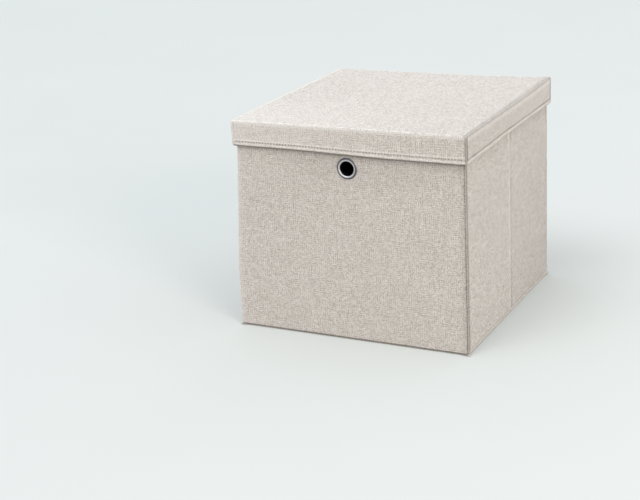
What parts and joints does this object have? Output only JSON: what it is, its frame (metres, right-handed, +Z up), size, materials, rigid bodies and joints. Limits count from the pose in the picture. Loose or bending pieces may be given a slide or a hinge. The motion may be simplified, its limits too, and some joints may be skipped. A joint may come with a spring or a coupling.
{
  "type": "fabric storage box with lid",
  "caption": "Collapsible square storage box in stiffened woven fabric, with a lift-off lid, a metal finger eyelet in the front wall and side walls that fold inwards.",
  "frame": {"origin": "centre of the base's underside, on the surface that the box stands on", "axes": "+Z up, -Y towards the front wall with the eyelet, +X to the right seen from the front"},
  "size_m": [0.3288, 0.3288, 0.29],
  "materials": {
    "outer_fabric": "matt linen-look weave",
    "trim_fabric": "matt linen-look weave, folded double",
    "inner_lining": "matt non-woven",
    "stiffener_board": "plain grey board",
    "eyelet_metal": "polished"
  },
  "bodies": {
    "front_and_base": {"base_cover": "outer_fabric", "base_board": "stiffener_board", "base_lining": "inner_lining", "front_cover": "outer_fabric", "front_board": "stiffener_board", "front_lining": "inner_lining", "front_rim_binding": "trim_fabric", "eyelet_ring": "eyelet_metal", "eyelet_washer": "eyelet_metal"},
    "right_front_half": {"right_front_cover": "outer_fabric", "right_front_board": "stiffener_board", "right_front_lining": "inner_lining", "right_front_rim_binding": "trim_fabric"},
    "right_rear_half": {"right_rear_cover": "outer_fabric", "right_rear_board": "stiffener_board", "right_rear_lining": "inner_lining", "right_rear_rim_binding": "trim_fabric"},
    "back_wall": {"back_cover": "outer_fabric", "back_board": "stiffener_board", "back_lining": "inner_lining", "back_rim_binding": "trim_fabric"},
    "left_front_half": {"left_front_cover": "outer_fabric", "left_front_board": "stiffener_board", "left_front_lining": "inner_lining", "left_front_rim_binding": "trim_fabric"},
    "left_rear_half": {"left_rear_cover": "outer_fabric", "left_rear_board": "stiffener_board", "left_rear_lining": "inner_lining", "left_rear_rim_binding": "trim_fabric"},
    "lid": {"lid_top_cover": "outer_fabric", "lid_top_board": "stiffener_board", "lid_top_lining": "inner_lining", "skirt_front_cover": "outer_fabric", "skirt_front_board": "stiffener_board", "skirt_front_lining": "inner_lining", "skirt_front_hem": "trim_fabric", "skirt_back_cover": "outer_fabric", "skirt_back_board": "stiffener_board", "skirt_back_lining": "inner_lining", "skirt_back_hem": "trim_fabric", "skirt_right_cover": "outer_fabric", "skirt_right_board": "stiffener_board", "skirt_right_lining": "inner_lining", "skirt_right_hem": "trim_fabric", "skirt_left_cover": "outer_fabric", "skirt_left_board": "stiffener_board", "skirt_left_lining": "inner_lining", "skirt_left_hem": "trim_fabric"}
  },
  "joints": [
    {"name": "right_fold", "type": "hinge", "parent": "front_and_base", "child": "right_front_half", "pos_m": [0.156, -0.15585, 0.145], "axis": [0, 0, 1], "range_deg": [0, 88]},
    {"name": "right_crease", "type": "hinge", "parent": "right_front_half", "child": "right_rear_half", "pos_m": [0.16, 0, 0.145], "axis": [0, 0, 1], "range_deg": [-176, 0]},
    {"name": "back_fold", "type": "hinge", "parent": "right_rear_half", "child": "back_wall", "pos_m": [0.156, 0.15585, 0.145], "axis": [0, 0, 1], "range_deg": [0, 88]},
    {"name": "left_fold", "type": "hinge", "parent": "front_and_base", "child": "left_front_half", "pos_m": [-0.156, -0.15585, 0.145], "axis": [0, 0, 1], "range_deg": [-88, 0]},
    {"name": "left_crease", "type": "hinge", "parent": "left_front_half", "child": "left_rear_half", "pos_m": [-0.16, 0, 0.145], "axis": [0, 0, 1], "range_deg": [0, 176]},
    {"name": "lid_lift", "type": "slide", "parent": "front_and_base", "child": "lid", "axis": [0, 0, 1], "range_m": [0, 0.15]}
  ],
  "couplings": [
    {"joint": "right_crease", "follows": "right_fold", "ratio": -2},
    {"joint": "back_fold", "follows": "right_fold", "ratio": 1},
    {"joint": "left_fold", "follows": "right_fold", "ratio": -1},
    {"joint": "left_crease", "follows": "right_fold", "ratio": 2}
  ]
}
